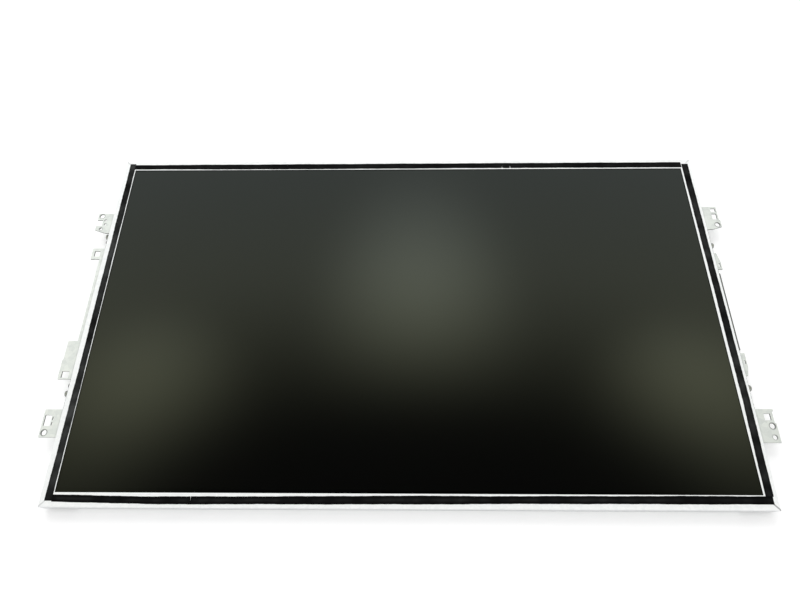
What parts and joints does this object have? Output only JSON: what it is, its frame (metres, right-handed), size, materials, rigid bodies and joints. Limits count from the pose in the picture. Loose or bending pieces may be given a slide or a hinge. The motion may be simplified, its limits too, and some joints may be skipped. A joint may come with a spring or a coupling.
{
  "type": "lcd panel",
  "caption": "Bare flat display module with a steel bezel, black edge tape, backlight inside, driver board behind and a perforated steel mounting bracket on each side.",
  "frame": {"origin": "middle of the outline, on the plane that the back rests on", "axes": "+X along the long edge, +Y from the near long edge to the far one, +Z out of the screen"},
  "size_m": [0.561, 0.312, 0.0121],
  "materials": {
    "bezel_steel": "bright zinc coated, satin",
    "black_tape": "matte black foam tape",
    "screen": "anti-glare coated polarizer",
    "cell_glass": "thin display glass",
    "rear_polarizer": "smooth film",
    "cushion_rubber": "soft rubber",
    "frame_plastic": "moulded black plastic",
    "optical_film": "satin film",
    "clear_acrylic": "clear acrylic",
    "white_film": "white matte film",
    "strip_board": "white solder mask",
    "led_packages": "yellow phosphor in white package",
    "aluminium_bar": "plain extruded",
    "flex_film": "amber polyimide",
    "tray_steel": "zinc coated sheet",
    "chip_black": "moulded black",
    "insulator_film": "black polyester film",
    "circuit_board": "green solder mask",
    "board_parts": "small soldered parts",
    "socket_plastic": "ivory moulded",
    "gold_contacts": "gold plated",
    "bright_screws": "zinc plated",
    "cover_steel": "tin plated sheet",
    "bracket_steel": "galvanised sheet",
    "side_screws": "zinc plated, dulled"
  },
  "bodies": {
    "root": {"front_bezel": "bezel_steel", "tape_far": "black_tape", "tape_near": "black_tape", "tape_left": "black_tape", "tape_right": "black_tape", "front_polarizer": "screen", "filter_glass": "cell_glass", "base_glass": "cell_glass", "rear_polarizer": "rear_polarizer", "glass_cushions": "cushion_rubber", "panel_frame": "frame_plastic", "brightness_film": "optical_film", "prism_film": "optical_film", "diffuser_film": "optical_film", "light_guide": "clear_acrylic", "reflector_sheet": "white_film", "led_strip": "strip_board", "leds": "led_packages", "heat_bar": "aluminium_bar", "led_tail": "flex_film", "rear_tray": "tray_steel", "driver_films": "flex_film", "driver_chips": "chip_black", "board_insulator": "insulator_film", "driver_board": "circuit_board", "timing_chip": "chip_black", "board_parts": "board_parts", "signal_socket": "socket_plastic", "socket_contacts": "gold_contacts", "tail_socket": "socket_plastic", "board_screws": "bright_screws", "board_cover": "cover_steel", "cover_screws": "bright_screws", "left_bracket": "bracket_steel", "right_bracket": "bracket_steel", "bracket_screws": "side_screws"}
  },
  "joints": []
}
